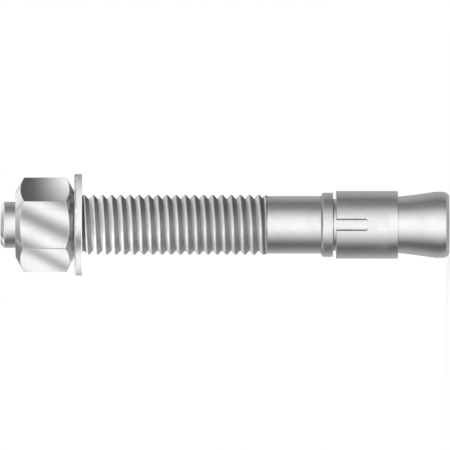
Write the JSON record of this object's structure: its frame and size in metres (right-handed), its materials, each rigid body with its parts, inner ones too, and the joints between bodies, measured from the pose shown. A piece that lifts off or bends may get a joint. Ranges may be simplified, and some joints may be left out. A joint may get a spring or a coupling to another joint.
{
  "type": "wedge anchor",
  "caption": "Wedge anchor for concrete: threaded stud with a wedge cone, slotted expansion clip, flat washer and hex nut.",
  "frame": {"origin": "centre of the cone's flat foot, on the anchor's axis", "axes": "+Z along the axis from the cone to the nut, -Y the side with the clip's first slot and one flat of the nut, +X through two corners of the nut"},
  "size_m": [0.0216, 0.0216, 0.0952],
  "materials": {
    "stud_zinc": "bright zinc plated, turned and rolled",
    "clip_zinc": "bright zinc plated strip",
    "washer_zinc": "bright zinc plated, stamped",
    "nut_zinc": "bright zinc plated, polished flats"
  },
  "bodies": {
    "stud": {"stud": "stud_zinc"},
    "clip": {"expansion_clip": "clip_zinc"},
    "washer": {"flat_washer": "washer_zinc"},
    "nut": {"hex_nut": "nut_zinc"}
  },
  "joints": [
    {"name": "clip_spin", "type": "hinge", "parent": "stud", "child": "clip", "pos_m": [0, 0, 0.01749], "axis": [0, 0, 1], "continuous": true},
    {"name": "washer_slide", "type": "slide", "parent": "stud", "child": "washer", "axis": [0, 0, 1], "range_m": [-0.0396, 0.0098]},
    {"name": "nut_turn", "type": "hinge", "parent": "washer", "child": "nut", "pos_m": [0, 0, 0.08582], "axis": [0, 0, 1], "range_deg": [-7290, 1800]}
  ],
  "couplings": [
    {"joint": "washer_slide", "follows": "nut_turn", "m_per_rad": 0.00031096}
  ]
}
